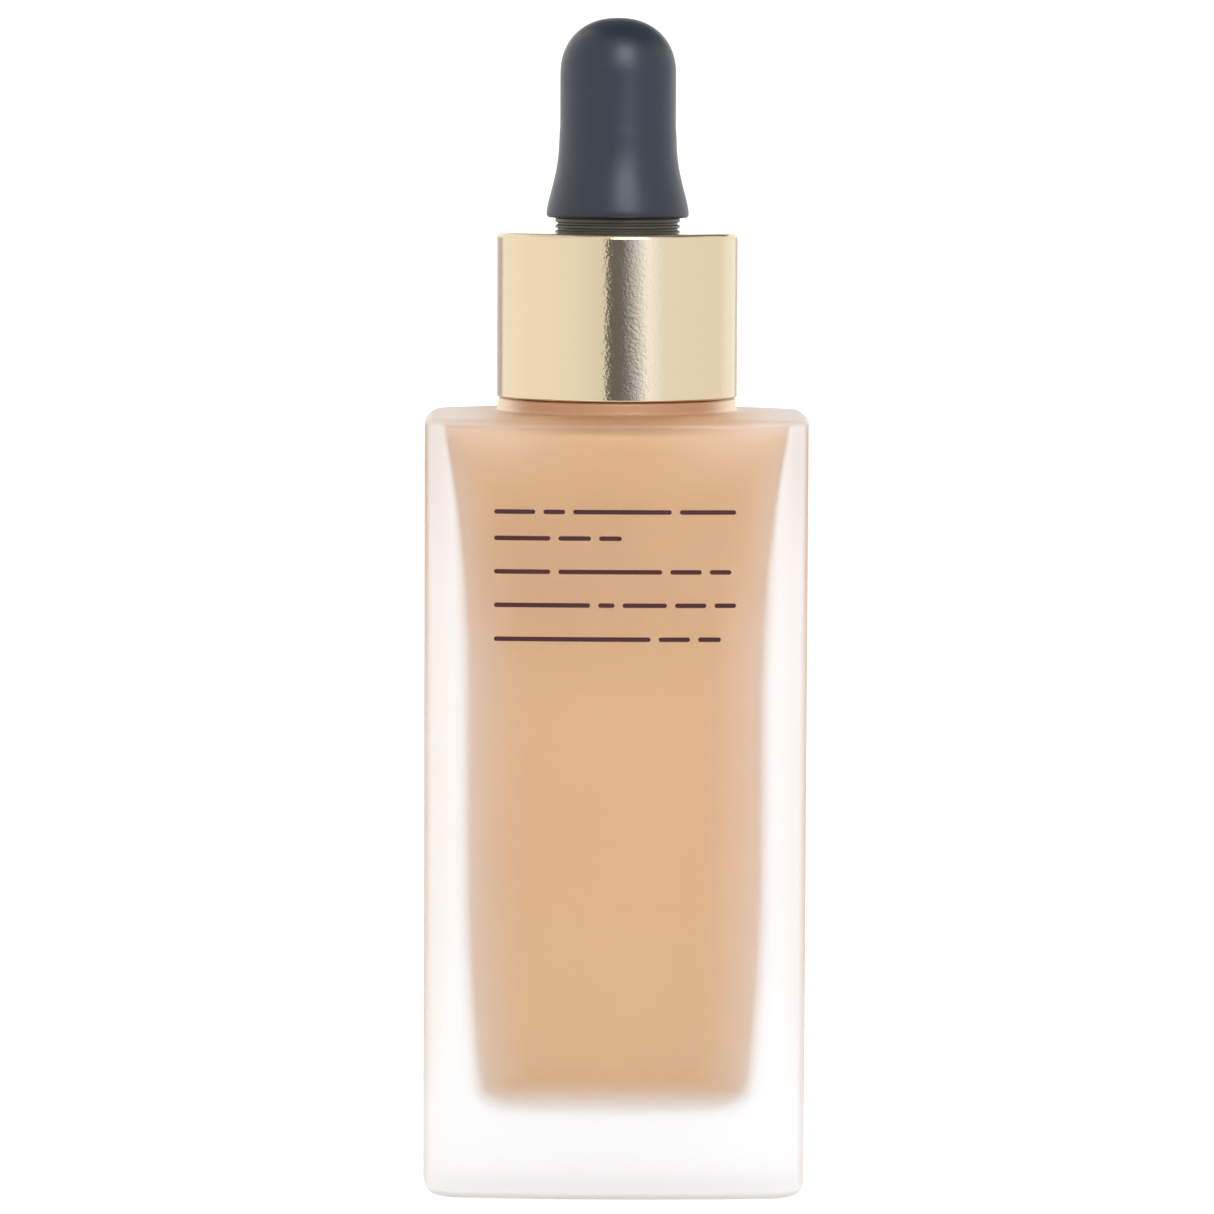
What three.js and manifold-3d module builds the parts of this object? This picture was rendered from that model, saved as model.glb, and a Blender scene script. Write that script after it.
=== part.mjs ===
// A 30 ml liquid foundation bottle with a screw-on dropper.
// Millimetres, +Z up. The origin is the middle of the base, and the front faces -Y.
import * as THREE from "three";
import { mergeVertices } from "three/addons/utils/BufferGeometryUtils.js";
import Module from "manifold-3d";

const wasm = await Module();
wasm.setup();

// ---------------------------------------------------------------- driving dimensions

const SIDES = 48; // facets round the bottle, the neck and the closure, a multiple of 4
const SLIM_SIDES = 24; // facets round the pipette
const BULB_SIDES = 36;

// The glass block: a rounded rectangle in plan, whose faces are shallow arcs.
const BODY = { halfWidth: 18.05, halfDepth: 13, corner: 3.9, faceRadius: 130, height: 72.75 };
const HEEL_RADIUS = 1.05;
const SHOULDER_RADIUS = 0.8;
const SHOULDER_CROWN = 0.4; // rise of the shoulder from its edge to the neck
const PUSH_UP = { rim: 3, slope: 1, depth: 0.5 }; // recess in the base, inside its resting rim

// The neck, with a 20 mm screw finish.
const BOSS = { radius: 11.2, top: 74.3, edge: 0.3 };
const LIP_HEIGHT = 84.6;
const NECK = { radius: 8.7, bore: 6.55, lipRadius: 0.4 };

// The cavity narrows slowly towards the floor and flares out under the shoulder.
const CAVITY = {
  halfWidth: 13.7,
  halfDepth: 9.2,
  corner: 4,
  faceRadius: 150,
  floor: 7.5,
  floorRadius: 3.5,
  top: 71,
  roofEdge: 71.5,
};
const FLARE = { start: 46, width: 2.4, depth: 2.2, corner: 2.4 };
const TAPER = { start: 33, width: 1.5, depth: 1.5 };
// Radius and height of the rings that lead from the cavity's roof into the bore.
const NECK_FOOT = [
  [9.4, 72],
  [8.7, 72.6],
  [7.4, 73.3],
  [NECK.bore, 74.1],
];

// Both threads lie on one helix, half a pitch apart.
const THREAD = { pitch: 3.175, turns: 1.5, start: -7, fade: 0.06, stepsPerTurn: 32 };
const NECK_THREAD = { root: 8.7, crest: 9.85, rootHalf: 0.95, crestHalf: 0.45 };
const CAP_THREAD = { root: 10.05, crest: 9.05, rootHalf: 0.8, crestHalf: 0.35 };
const THREAD_BITE = 0.3; // how far a ridge is sunk into the wall that it stands on

// The closure's own heights are measured from the lip of the neck.
const SHELL = { radius: 11.35, bottom: -10.2, top: 5.25, wall: 0.4, edge: 0.45, hole: 6 };
const CAP = { radius: 10.55, bottom: -9.7, panelBottom: 3, panelTop: 4.6, seat: 9.3 };
const CAP_RIBS = { count: 16, width: 0.8, reach: 0.3 };
const TOWER = { radius: 5.85, bore: 4.7, top: 6.6, grooves: 2, grooveDepth: 0.22 };
const WASHER = { radius: 9.1, hole: 3.6, bottom: 1, top: 1.8 };
const WIPER = { flange: 8.9, plug: 6.45, wall: 0.7, bottom: -9.4, lip: 3.65, lipRise: 2.2 };
const WIPER_FLANGE = { bottom: 0.1, top: 0.9 };

const BULB = {
  foot: 7.6,
  footBottom: 1.9,
  footTop: 2.9,
  neck: 4.6,
  ledge: 7.45, // underside of the skirt, over the tower
  skirtBottom: 6.6,
  skirtBore: 6.1,
  radius: 5.44,
  wall: 1.3,
  domeStart: 20,
  top: 25.3,
  domePower: 2.2,
};
// The skirt sweeps in from its widest edge to the straight grip.
const SKIRT_SWEEP = [
  [6.68, 7.2],
  [6.31, 8.9],
  [5.78, 11.15],
  [5.54, 13.3],
  [5.44, 15.2],
];

const PIPETTE = { radius: 3.5, bore: 2.6, tip: 1.9, tipBore: 1.1, top: 5.1, bottom: -72.4 };
const PIPETTE_TAPER = 15; // length of the drawn-down tip
const LIQUID_GAP = 0.1; // clearance that the liquids keep from the walls round them
const FILL_LEVEL = 74.8; // height of the foundation, in the foot of the neck
const WELL_FLOOR = 11.2; // bottom of the hollow that the pipette takes up in the foundation

// ---------------------------------------------------------------- geometry helpers

const point = (radius, height) => new THREE.Vector2(radius, height);

// Points along a circular arc of a profile, from one angle to another, in degrees.
function arc(centreRadius, centreHeight, radius, from, to, steps) {
  return Array.from({ length: steps + 1 }, (_, i) => {
    const angle = THREE.MathUtils.degToRad(from + ((to - from) * i) / steps);
    const reach = radius * Math.cos(angle);
    return point(centreRadius + reach, centreHeight + radius * Math.sin(angle));
  });
}

// A round piece: its profile of (radius, height) turned about the Z axis.
function turned(profile, sides = SIDES) {
  return new THREE.LatheGeometry(profile, sides).rotateX(Math.PI / 2);
}

// A round piece with a hole right through it, whose profile closes on itself.
function ring(profile, sides = SIDES) {
  return turned([...profile, profile[0]], sides);
}

const QUARTER = SIDES / 4; // facets in a quarter of a section
const FACE = QUARTER / 4; // facets in half a face of a block section

// A section is a height and an outline, which gives the points of its first quarter
// from the middle of the +X side to the middle of the +Y side.
function roundSection(radius, height) {
  const outline = (step) => {
    const angle = ((step / QUARTER) * Math.PI) / 2;
    return point(radius * Math.cos(angle), radius * Math.sin(angle));
  };
  return { height, outline };
}

// A rounded rectangle whose faces and corners are arcs that run smoothly into each other.
function blockSection({ halfWidth, halfDepth, corner, faceRadius }, inset, height) {
  const cornerRadius = Math.max(corner - inset, 0.5);
  const radius = faceRadius - inset;
  const side = point(halfWidth - faceRadius, 0);
  const front = point(0, halfDepth - faceRadius);
  const between = side.clone().sub(front);
  const rise = Math.sqrt((radius - cornerRadius) ** 2 - between.lengthSq() / 4);
  const outward = point(between.y, -between.x).setLength(rise);
  const centre = side.clone().add(front).multiplyScalar(0.5).add(outward);
  const sideEnd = centre.clone().sub(side).angle();
  const frontEnd = centre.clone().sub(front).angle();
  const onArc = (middle, reach, angle) =>
    point(middle.x + reach * Math.cos(angle), middle.y + reach * Math.sin(angle));
  const outline = (step) => {
    if (step < FACE) return onArc(side, radius, (sideEnd * step) / FACE);
    if (step > QUARTER - FACE) {
      const along = (QUARTER - step) / FACE;
      return onArc(front, radius, THREE.MathUtils.lerp(Math.PI / 2, frontEnd, along));
    }
    const along = (step - FACE) / (QUARTER - 2 * FACE);
    return onArc(centre, cornerRadius, THREE.MathUtils.lerp(sideEnd, frontEnd, along));
  };
  return { height, outline };
}

// A lathe whose rings are pushed out to the outlines of its sections.
function lofted(sections) {
  const profile = sections.map((section) => point(1, section.height));
  const geometry = new THREE.LatheGeometry(profile, SIDES);
  const position = geometry.getAttribute("position");
  for (let side = 0; side <= SIDES; side++) {
    const quarter = Math.floor(side / QUARTER) % 4;
    const step = side % QUARTER;
    const mirrored = quarter % 2 === 1;
    const signX = quarter === 1 || quarter === 2 ? -1 : 1;
    const signY = quarter >= 2 ? -1 : 1;
    sections.forEach((section, level) => {
      const { x, y } = section.outline(mirrored ? QUARTER - step : step);
      position.setXYZ(side * sections.length + level, signX * x, signY * y, section.height);
    });
  }
  return geometry;
}

// A screw ridge: a trapezoid bar wound along the helix, sinking into its wall at both ends.
function screwRidge(thread, start) {
  const outward = Math.sign(thread.crest - thread.root);
  const buried = thread.root - outward * THREAD_BITE;
  const trapezoid = new THREE.Shape([
    point(buried, -thread.rootHalf),
    point(thread.crest, -thread.crestHalf),
    point(thread.crest, thread.crestHalf),
    point(buried, thread.rootHalf),
  ]);
  const steps = Math.round(THREAD.turns * THREAD.stepsPerTurn);
  const bar = new THREE.ExtrudeGeometry(trapezoid, { depth: 1, steps, bevelEnabled: false });
  const position = bar.getAttribute("position");
  for (let i = 0; i < position.count; i++) {
    const along = 1 - position.getZ(i);
    const fade = Math.min(1, along / THREAD.fade, (1 - along) / THREAD.fade);
    const radius = buried + (position.getX(i) - buried) * (0.2 + 0.8 * fade);
    const angle = along * THREAD.turns * 2 * Math.PI;
    const height = start + position.getY(i) + along * THREAD.turns * THREAD.pitch;
    position.setXYZ(i, radius * Math.cos(angle), radius * Math.sin(angle), height);
  }
  return bar;
}

// A closed geometry as a solid that can be joined to others.
function solid(geometry) {
  const bare = geometry.clone();
  bare.deleteAttribute("normal");
  bare.deleteAttribute("uv");
  const merged = mergeVertices(bare, 1e-4);
  return new wasm.Manifold(
    new wasm.Mesh({
      numProp: 3,
      vertProperties: merged.getAttribute("position").array,
      triVerts: new Uint32Array(merged.index.array),
    }),
  );
}

function joined(...geometries) {
  const { vertProperties, triVerts } = geometries
    .map(solid)
    .reduce((whole, next) => whole.add(next))
    .getMesh();
  return new THREE.BufferGeometry()
    .setAttribute("position", new THREE.BufferAttribute(vertProperties, 3))
    .setIndex(new THREE.BufferAttribute(triVerts, 1));
}

// ---------------------------------------------------------------- bottle

const ease = (amount) => THREE.MathUtils.clamp(amount, 0, 1) ** 2;

// The outside of the glass block, drawn in by an inset.
function bodySection(height, inset) {
  return blockSection(BODY, inset, height);
}

// The cavity's walls at a height, drawn in by an inset.
function cavitySection(height, inset) {
  const flare = ease((height - FLARE.start) / (CAVITY.roofEdge - FLARE.start));
  const taper = ease((TAPER.start - height) / (TAPER.start - CAVITY.floor));
  const halfWidth = CAVITY.halfWidth + FLARE.width * flare - TAPER.width * taper;
  const halfDepth = CAVITY.halfDepth + FLARE.depth * flare - TAPER.depth * taper;
  const corner = CAVITY.corner - FLARE.corner * flare;
  return blockSection({ ...CAVITY, halfWidth, halfDepth, corner }, inset, height);
}

// The cavity's rings from the floor's middle to the top of its walls.
function cavityWalls(gap) {
  const floor = CAVITY.floor + gap;
  const cornerTop = CAVITY.floor + CAVITY.floorRadius;
  const corner = arc(0, cornerTop, CAVITY.floorRadius - gap, -90, 0, 4).map((p) =>
    cavitySection(p.y, CAVITY.floorRadius - p.x),
  );
  const levels = 11;
  const walls = Array.from({ length: levels + 1 }, (_, i) =>
    cavitySection(THREE.MathUtils.lerp(cornerTop, CAVITY.top - gap, i / levels), gap),
  );
  return [roundSection(0, floor), ...corner, ...walls.slice(1)];
}

// The cavity's roof, from the top of its walls up into the bore of the neck.
function cavityRoof(gap) {
  return [
    cavitySection((CAVITY.roofEdge + CAVITY.top) / 2 - gap, 0.15 + gap),
    cavitySection(CAVITY.roofEdge - gap, 0.6 + gap),
    ...NECK_FOOT.map(([radius, height]) => roundSection(radius - gap, height - gap)),
  ];
}

function glassBottle() {
  const heel = arc(0, HEEL_RADIUS, HEEL_RADIUS, -90, 0, 5).map((p) =>
    bodySection(p.y, HEEL_RADIUS - p.x),
  );
  const edgeHeight = BODY.height - SHOULDER_RADIUS;
  const edge = arc(0, edgeHeight, SHOULDER_RADIUS, 0, 90, 5).map((p) =>
    bodySection(p.y, SHOULDER_RADIUS - p.x),
  );
  const outside = [
    roundSection(0, PUSH_UP.depth),
    bodySection(PUSH_UP.depth, PUSH_UP.rim + PUSH_UP.slope),
    bodySection(0, PUSH_UP.rim),
    ...heel,
    ...edge,
    roundSection(BOSS.radius, BODY.height + SHOULDER_CROWN),
    roundSection(BOSS.radius, BOSS.top - BOSS.edge),
    roundSection(BOSS.radius - BOSS.edge, BOSS.top),
    roundSection(NECK.radius, BOSS.top),
    roundSection(NECK.radius, LIP_HEIGHT - NECK.lipRadius),
    roundSection(NECK.radius - NECK.lipRadius, LIP_HEIGHT),
  ];
  const bore = [
    roundSection(NECK.bore + NECK.lipRadius, LIP_HEIGHT),
    roundSection(NECK.bore, LIP_HEIGHT - NECK.lipRadius),
  ];
  const inside = [...cavityWalls(0), ...cavityRoof(0)].reverse();
  const block = lofted([...outside, ...bore, ...inside]);
  return joined(block, screwRidge(NECK_THREAD, LIP_HEIGHT + THREAD.start));
}

// The pipette's outside, a clearance away from it, as heights above the base.
function pipetteWell() {
  const tip = LIP_HEIGHT + PIPETTE.bottom;
  const clearance = 0.2;
  return [
    roundSection(PIPETTE.radius + clearance, FILL_LEVEL),
    roundSection(PIPETTE.radius + clearance, tip + PIPETTE_TAPER),
    roundSection(PIPETTE.tip + clearance, tip),
    roundSection(PIPETTE.tip + clearance, WELL_FLOOR),
    roundSection(0, WELL_FLOOR),
  ];
}

function foundationFill() {
  const outside = [...cavityWalls(LIQUID_GAP), ...cavityRoof(LIQUID_GAP)];
  const surface = roundSection(NECK.bore - LIQUID_GAP, FILL_LEVEL);
  return lofted([...outside, surface, ...pipetteWell()]);
}

// ---------------------------------------------------------------- closure, from the lip up

// A plug in the neck, with a flange on the lip and a cone that wipes the pipette.
function neckWiper() {
  const inside = WIPER.plug - WIPER.wall;
  const coneTop = WIPER.bottom + WIPER.lipRise;
  return ring([
    point(WIPER.lip, WIPER.bottom),
    point(WIPER.lip + WIPER.wall, WIPER.bottom),
    point(WIPER.plug - 0.4, coneTop - 0.5),
    point(WIPER.plug, coneTop),
    point(WIPER.plug, WIPER_FLANGE.bottom),
    point(WIPER.flange, WIPER_FLANGE.bottom),
    point(WIPER.flange, WIPER_FLANGE.top),
    point(inside + 0.3, WIPER_FLANGE.top),
    point(inside, WIPER_FLANGE.top - 0.5),
    point(inside, coneTop + 0.4),
  ]);
}

function sealingWasher() {
  return ring([
    point(WASHER.hole, WASHER.bottom),
    point(WASHER.radius, WASHER.bottom),
    point(WASHER.radius, WASHER.top),
    point(WASHER.hole, WASHER.top),
  ]);
}

function pipetteTube() {
  const shoulder = PIPETTE.bottom + PIPETTE_TAPER;
  const rounding = 0.25;
  return ring(
    [
      point(PIPETTE.tipBore, PIPETTE.bottom),
      point(PIPETTE.tip - rounding, PIPETTE.bottom),
      point(PIPETTE.tip, PIPETTE.bottom + rounding),
      point(PIPETTE.radius, shoulder),
      point(PIPETTE.radius, PIPETTE.top - rounding),
      point(PIPETTE.radius - rounding, PIPETTE.top),
      point(PIPETTE.bore, PIPETTE.top),
      point(PIPETTE.bore, shoulder),
    ],
    SLIM_SIDES,
  );
}

// The foundation that stands in the pipette, level with the rest.
function pipetteFill() {
  const level = FILL_LEVEL - LIP_HEIGHT;
  return turned(
    [
      point(0, PIPETTE.bottom),
      point(PIPETTE.tipBore - LIQUID_GAP, PIPETTE.bottom),
      point(PIPETTE.bore - LIQUID_GAP, PIPETTE.bottom + PIPETTE_TAPER),
      point(PIPETTE.bore - LIQUID_GAP, level),
      point(0, level),
    ],
    SLIM_SIDES,
  );
}

// The plastic cap: a threaded skirt, a top panel and a grooved tower that carries the bulb.
function innerCap() {
  const skirtTop = CAP.panelTop - 0.1;
  const grooveSpan = (TOWER.top - SHELL.top - 0.3) / TOWER.grooves;
  const grooves = Array.from({ length: TOWER.grooves }, (_, i) => {
    const start = SHELL.top + 0.1 + i * grooveSpan;
    return [
      point(TOWER.radius, start),
      point(TOWER.radius - TOWER.grooveDepth, start + 0.2 * grooveSpan),
      point(TOWER.radius - TOWER.grooveDepth, start + 0.45 * grooveSpan),
      point(TOWER.radius, start + 0.65 * grooveSpan),
    ];
  }).flat();
  const body = ring([
    point(CAP_THREAD.root, CAP.bottom),
    point(CAP.radius, CAP.bottom),
    point(CAP.radius, skirtTop - 0.4),
    point(CAP.radius - 0.4, skirtTop),
    point(TOWER.radius, skirtTop),
    ...grooves,
    point(TOWER.radius, TOWER.top),
    point(TOWER.bore, TOWER.top),
    point(TOWER.bore, CAP.panelBottom),
    point(CAP.seat, CAP.panelBottom),
    point(CAP.seat, 0.4),
    point(CAP_THREAD.root, -0.4),
  ]);
  const ribHeight = skirtTop - 1 - CAP.bottom;
  const ribs = Array.from({ length: CAP_RIBS.count }, (_, i) => {
    const depth = 2 * CAP_RIBS.reach;
    return new THREE.BoxGeometry(depth, CAP_RIBS.width, ribHeight)
      .translate(CAP.radius, 0, CAP.bottom + ribHeight / 2)
      .rotateZ((i / CAP_RIBS.count) * 2 * Math.PI);
  });
  const ridge = screwRidge(CAP_THREAD, THREAD.start - THREAD.pitch / 2);
  return joined(body, ridge, ...ribs);
}

// The drawn metal shell that covers the cap.
function outerCollar() {
  const inside = SHELL.radius - SHELL.wall;
  const edgeInside = SHELL.edge - SHELL.wall / 2;
  return ring([
    point(inside, SHELL.bottom),
    point(SHELL.radius - 0.12, SHELL.bottom),
    point(SHELL.radius, SHELL.bottom + 0.12),
    ...arc(SHELL.radius - SHELL.edge, SHELL.top - SHELL.edge, SHELL.edge, 0, 90, 4),
    point(SHELL.hole, SHELL.top),
    point(SHELL.hole, SHELL.top - SHELL.wall),
    point(inside - edgeInside, SHELL.top - SHELL.wall),
    point(inside, SHELL.top - SHELL.wall - edgeInside),
  ]);
}

const spread = (unit, power) => Math.abs(unit) ** (2 / power);

// A dome's profile from its springing up to its crown on the axis.
function dome(radius, springing, crown, steps) {
  return Array.from({ length: steps + 1 }, (_, i) => {
    const angle = ((i / steps) * Math.PI) / 2;
    const reach = i === steps ? 0 : radius * spread(Math.cos(angle), BULB.domePower);
    return point(reach, springing + (crown - springing) * spread(Math.sin(angle), BULB.domePower));
  });
}

function dropperBulb() {
  const sweep = new THREE.SplineCurve(SKIRT_SWEEP.map(([r, h]) => point(r, h)));
  const inside = BULB.radius - BULB.wall;
  const bore = PIPETTE.radius + 0.05;
  const profile = [
    ...dome(inside, BULB.domeStart, BULB.top - BULB.wall, 5).reverse(),
    point(inside, BULB.ledge + 2),
    point(bore, BULB.ledge + 1),
    point(bore, BULB.footBottom),
    point(BULB.foot, BULB.footBottom),
    point(BULB.foot, BULB.footTop),
    point(BULB.neck, BULB.footTop),
    point(BULB.neck, BULB.ledge),
    point(BULB.skirtBore, BULB.ledge),
    point(BULB.skirtBore, BULB.skirtBottom + 0.1),
    point(BULB.skirtBore + 0.1, BULB.skirtBottom),
    point(SKIRT_SWEEP[0][0] - 0.15, BULB.skirtBottom),
    ...sweep.getPoints(8),
    ...dome(BULB.radius, BULB.domeStart, BULB.top, 8),
  ];
  return turned(profile, BULB_SIDES);
}

// ---------------------------------------------------------------- assembly

const GLASS = { color: 0xf6eee8, roughness: 0.5, metalness: 0 };
const FOUNDATION = { color: 0xe1b48b, roughness: 0.6, metalness: 0 };
const GOLD = { color: 0xe4d4b0, roughness: 0.2, metalness: 1 };
const SLATE = { color: 0x434a52, roughness: 0.65, metalness: 0 };
const CLEAR_PLASTIC = { color: 0xe8e8e4, roughness: 0.4, metalness: 0 };
const CLEAR_GLASS = { color: 0xf2f5f4, roughness: 0.05, metalness: 0 };

function piece(name, geometry, look) {
  const mesh = new THREE.Mesh(geometry, new THREE.MeshStandardMaterial(look));
  mesh.name = name;
  return mesh;
}

const bottle = new THREE.Group();
bottle.add(piece("glass_bottle", glassBottle(), GLASS));
bottle.add(piece("foundation_fill", foundationFill(), FOUNDATION));

const closure = new THREE.Group();
closure.position.z = LIP_HEIGHT;
closure.add(piece("neck_wiper", neckWiper(), CLEAR_PLASTIC));
closure.add(piece("sealing_washer", sealingWasher(), CLEAR_PLASTIC));
closure.add(piece("pipette_tube", pipetteTube(), CLEAR_GLASS));
closure.add(piece("pipette_fill", pipetteFill(), FOUNDATION));
closure.add(piece("inner_cap", innerCap(), SLATE));
closure.add(piece("outer_collar", outerCollar(), GOLD));
closure.add(piece("dropper_bulb", dropperBulb(), SLATE));

const foundationBottle = new THREE.Group();
foundationBottle.add(bottle, closure);

export default foundationBottle;
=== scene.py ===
"""The looks of a frosted glass foundation bottle with a dropper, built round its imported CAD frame."""
import math

import bpy
import numpy as np
from mathutils import Matrix, Vector


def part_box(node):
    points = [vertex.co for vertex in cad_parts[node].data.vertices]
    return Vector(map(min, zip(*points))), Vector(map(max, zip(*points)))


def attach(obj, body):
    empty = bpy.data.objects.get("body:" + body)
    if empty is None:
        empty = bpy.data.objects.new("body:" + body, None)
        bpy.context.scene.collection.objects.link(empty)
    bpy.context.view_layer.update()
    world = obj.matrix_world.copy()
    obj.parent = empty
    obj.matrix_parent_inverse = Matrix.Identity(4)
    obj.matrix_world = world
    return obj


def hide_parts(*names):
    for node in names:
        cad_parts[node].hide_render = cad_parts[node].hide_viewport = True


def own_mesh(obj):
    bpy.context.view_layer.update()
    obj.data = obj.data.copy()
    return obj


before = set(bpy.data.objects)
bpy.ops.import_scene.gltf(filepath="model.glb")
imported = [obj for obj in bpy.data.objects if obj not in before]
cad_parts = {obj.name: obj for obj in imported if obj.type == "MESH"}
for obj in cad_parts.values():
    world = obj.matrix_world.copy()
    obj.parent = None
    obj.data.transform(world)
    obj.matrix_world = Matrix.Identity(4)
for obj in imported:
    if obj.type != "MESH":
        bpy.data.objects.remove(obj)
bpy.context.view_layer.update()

MM = 0.001

# ------------------------------------------------------------------ sizes, in millimetres

AROUND = 192  # points round a piece, a multiple of 4

BODY = {"width": 18.05, "depth": 13.0, "corner": 3.9, "face": 130.0}
CAVITY = {"width": 13.7, "depth": 9.2, "corner": 4.0, "face": 150.0}
BODY_TOP = 72.75
HEEL_RADIUS = 1.05
SHOULDER_RADIUS = 0.8
SHOULDER_CROWN = 0.4
RIM, PUSH_SLOPE, PUSH_UP = 3.0, 1.0, 0.5
BOSS_RADIUS, BOSS_TOP, BOSS_EDGE = 11.2, 74.3, 0.3
NECK_RADIUS, NECK_BORE, LIP_ROUNDING = 8.7, 6.55, 0.4
FLOOR, FLOOR_RADIUS = 7.5, 3.5
WALL_TOP, ROOF_EDGE = 71.0, 71.5
NECK_FOOT = [(9.4, 72.0), (8.7, 72.6), (7.4, 73.3), (NECK_BORE, 74.1)]  # the bore's flared foot
FILL_LEVEL = 74.8
FLARE_START, FLARE_WIDTH, FLARE_DEPTH, FLARE_CORNER = 46.0, 2.4, 2.2, 2.4
TAPER_START, TAPER_WIDTH, TAPER_DEPTH = 33.0, 1.5, 1.5

PITCH, THREAD_TURNS = 3.175, 1.5
NECK_THREAD = {"root": 8.7, "crest": 9.85, "root_half": 0.95, "crest_half": 0.45, "start": -7.0}
CAP_THREAD = {"root": 10.05, "crest": 9.05, "root_half": 0.8, "crest_half": 0.35,
              "start": -7.0 - PITCH / 2}

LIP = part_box("glass_bottle")[1].z / MM  # the closure's heights are measured from here


# ------------------------------------------------------------------ geometry

def arc(centre_r, centre_z, radius, start, end, steps):
    """Points (r, z) along a circular arc of a profile, angles in degrees."""
    angles = np.radians(np.linspace(start, end, steps + 1))
    return [(centre_r + radius * math.cos(a), centre_z + radius * math.sin(a)) for a in angles]


def round_outline(radius):
    angles = np.linspace(0, 2 * np.pi, AROUND, endpoint=False)
    return np.c_[radius * np.cos(angles), radius * np.sin(angles)]


def block_outline(size, inset):
    """A rounded rectangle whose faces and corners are arcs that run smoothly into each other."""
    corner = max(size["corner"] - inset, 0.5)
    face = size["face"] - inset
    side_centre = np.array([size["width"] - size["face"], 0.0])
    front_centre = np.array([0.0, size["depth"] - size["face"]])
    between = side_centre - front_centre
    half = np.linalg.norm(between) / 2
    outward = np.array([between[1], -between[0]]) / (2 * half)
    corner_centre = ((side_centre + front_centre) / 2
                     + outward * math.sqrt((face - corner) ** 2 - half ** 2))
    side_end = math.atan2(*(corner_centre - side_centre)[::-1])
    front_end = math.atan2(*(corner_centre - front_centre)[::-1])
    quarter = AROUND // 4
    few = quarter // 4
    pieces = [
        (side_centre, face, np.linspace(0, side_end, few, endpoint=False)),
        (corner_centre, corner, np.linspace(side_end, front_end, quarter - 2 * few, endpoint=False)),
        (front_centre, face, np.linspace(front_end, np.pi / 2, few + 1)),
    ]
    first = np.vstack([c + r * np.c_[np.cos(a), np.sin(a)] for c, r, a in pieces])
    upper = np.vstack([first[:-1], first[:0:-1] * (-1, 1)])
    return np.vstack([upper, -upper])


def body_outline(inset):
    return block_outline(BODY, inset)


def ease(amount):
    return min(max(amount, 0.0), 1.0) ** 2


def cavity_outline(z, inset):
    flare = ease((z - FLARE_START) / (ROOF_EDGE - FLARE_START))
    taper = ease((TAPER_START - z) / (TAPER_START - FLOOR))
    size = dict(CAVITY)
    size["width"] += FLARE_WIDTH * flare - TAPER_WIDTH * taper
    size["depth"] += FLARE_DEPTH * flare - TAPER_DEPTH * taper
    size["corner"] -= FLARE_CORNER * flare
    return block_outline(size, inset)


def mesh_piece(name, vertices, faces, sharp=35):
    """A smooth-shaded mesh object from points in millimetres. Edges sharper than the angle stay sharp."""
    mesh = bpy.data.meshes.new(name)
    mesh.from_pydata((np.asarray(vertices) * MM).tolist(), [], faces)
    mesh.validate()
    mesh.polygons.foreach_set("use_smooth", [True] * len(mesh.polygons))
    mesh.set_sharp_from_angle(angle=math.radians(sharp))
    piece = bpy.data.objects.new(name, mesh)
    bpy.context.scene.collection.objects.link(piece)
    return piece


def stacked(name, rings, closed=False, sharp=35):
    """A piece from rings of AROUND points each. Open stacks end in a point at each end."""
    around = len(rings[0])
    vertices = np.vstack(rings)
    faces = []
    levels = len(rings)
    for level in range(levels if closed else levels - 1):
        low, high = level * around, ((level + 1) % levels) * around
        for i in range(around):
            j = (i + 1) % around
            faces.append((low + i, low + j, high + j, high + i))
    if not closed:
        for level, turn in ((0, -1), (levels - 1, 1)):
            ids = range(level * around, (level + 1) * around)
            centre = len(vertices)
            vertices = np.vstack([vertices, rings[level].mean(0)])
            for i in range(around):
                a, b = ids[i], ids[(i + 1) % around]
                faces.append((centre, a, b) if turn > 0 else (centre, b, a))
    return mesh_piece(name, vertices, faces, sharp)


def ring_at(outline, z):
    return np.c_[outline, np.full(len(outline), z)]


def turned(name, profile, closed=False, sharp=35, shift=None):
    """A round piece from its profile of (r, z), counted from the lip. shift may move each ring's radii."""
    angles = np.linspace(0, 2 * np.pi, AROUND, endpoint=False)
    rings = []
    for r, z in profile:
        radii = np.full(AROUND, float(r))
        if shift:
            radii = shift(radii, angles, z)
        rings.append(np.c_[radii * np.cos(angles), radii * np.sin(angles), np.full(AROUND, z + LIP)])
    return stacked(name, rings, closed, sharp)


def threaded(thread):
    """Moves the radii of a wall at the thread's root out or in to its ridge."""
    def shift(radii, angles, z):
        if abs(radii[0] - thread["root"]) > 1e-6:
            return radii
        lift = np.zeros(len(angles))
        for turn in range(-1, 3):
            along = angles / (2 * np.pi) + turn
            offset = np.abs(z - thread["start"] - along * PITCH)
            flank = (thread["root_half"] - offset) / (thread["root_half"] - thread["crest_half"])
            inside = np.clip(np.minimum(along, THREAD_TURNS - along) / 0.06, 0, 1)
            lift = np.maximum(lift, np.clip(flank, 0, 1) * inside)
        return radii + lift * (thread["crest"] - thread["root"])
    return shift


def subdivided(profile, step):
    """The same profile with its long stretches cut into steps."""
    out = []
    for (r0, z0), (r1, z1) in zip(profile, profile[1:]):
        count = max(1, int(math.hypot(r1 - r0, z1 - z0) / step))
        out += [(r0 + (r1 - r0) * i / count, z0 + (z1 - z0) * i / count) for i in range(count)]
    return out + [profile[-1]]


# ------------------------------------------------------------------ materials

def srgb(r, g, b):
    """A linear colour from the usual 0 to 255 values."""
    def channel(c):
        c /= 255
        return c / 12.92 if c <= 0.04045 else ((c + 0.055) / 1.055) ** 2.4
    return (channel(r), channel(g), channel(b), 1.0)


NOISE_LOW, NOISE_HIGH = 0.35, 0.65


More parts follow.
